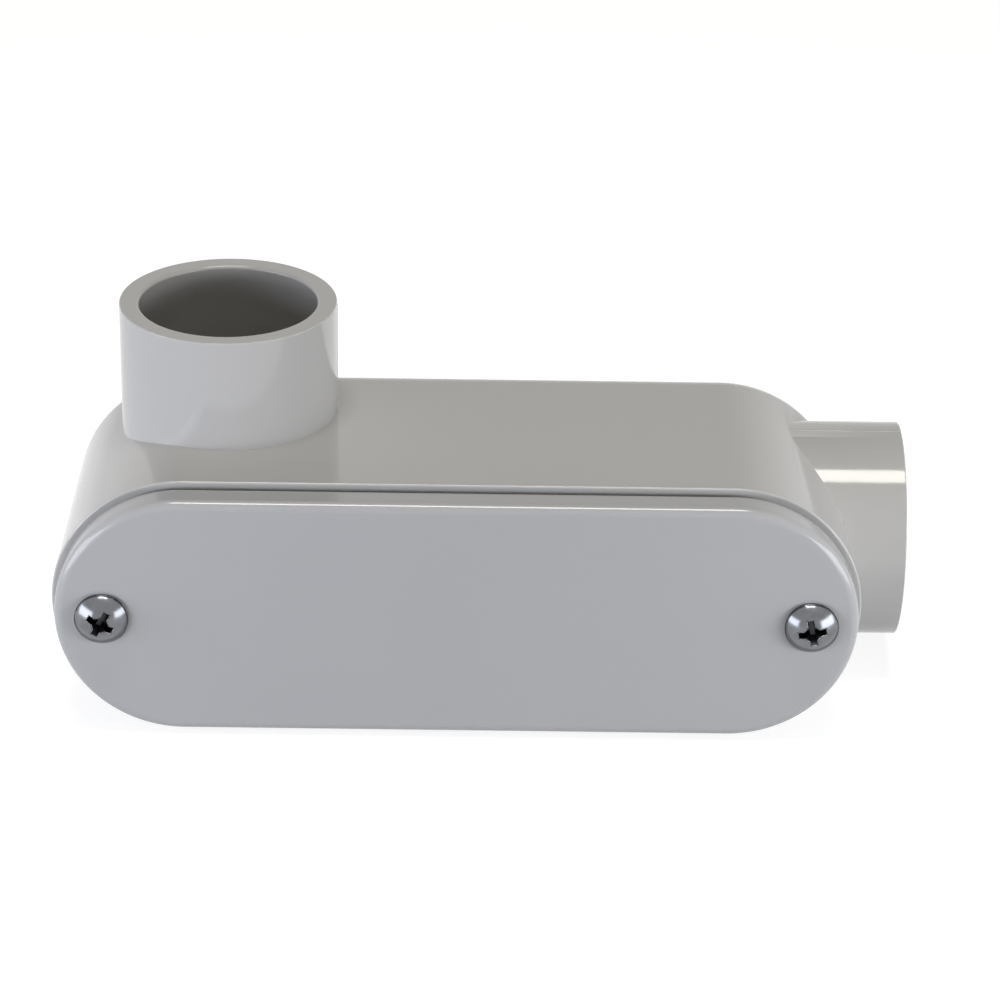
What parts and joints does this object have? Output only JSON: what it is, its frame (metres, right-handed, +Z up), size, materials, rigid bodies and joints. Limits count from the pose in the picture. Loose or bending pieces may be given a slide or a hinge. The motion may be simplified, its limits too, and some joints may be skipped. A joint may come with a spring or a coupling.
{
  "type": "conduit body",
  "caption": "Moulded PVC conduit body, L pattern: obround housing with side and end socket hubs, closed by a gasketed cover that pan head screws hold.",
  "frame": {"origin": "middle of the overall box, on the surface that the part rests on", "axes": "+X along the housing out of the end socket, +Z up out of the side socket, -Y out of the cover, +Y out of the flat back"},
  "size_m": [0.1287, 0.0528, 0.0569],
  "materials": {
    "moulded_pvc": "smooth moulded light grey PVC, glossy",
    "cover_pvc": "moulded light grey PVC, glossy",
    "gasket_foam": "matt black closed-cell rubber",
    "zinc_steel": "bright zinc-plated steel"
  },
  "bodies": {
    "housing": {"housing": "moulded_pvc"},
    "cover": {"cover": "cover_pvc", "gasket": "gasket_foam"},
    "screw_left": {"cover_screw_left": "zinc_steel"},
    "screw_right": {"cover_screw_right": "zinc_steel"}
  },
  "joints": [
    {"name": "cover_lift", "type": "slide", "parent": "housing", "child": "cover", "axis": [0, -1, 0], "range_m": [0, 0.06]},
    {"name": "screw_left_out", "type": "slide", "parent": "cover", "child": "screw_left", "axis": [0, -1, 0], "range_m": [0, 0.0125]},
    {"name": "screw_right_out", "type": "slide", "parent": "cover", "child": "screw_right", "axis": [0, -1, 0], "range_m": [0, 0.0125]}
  ]
}
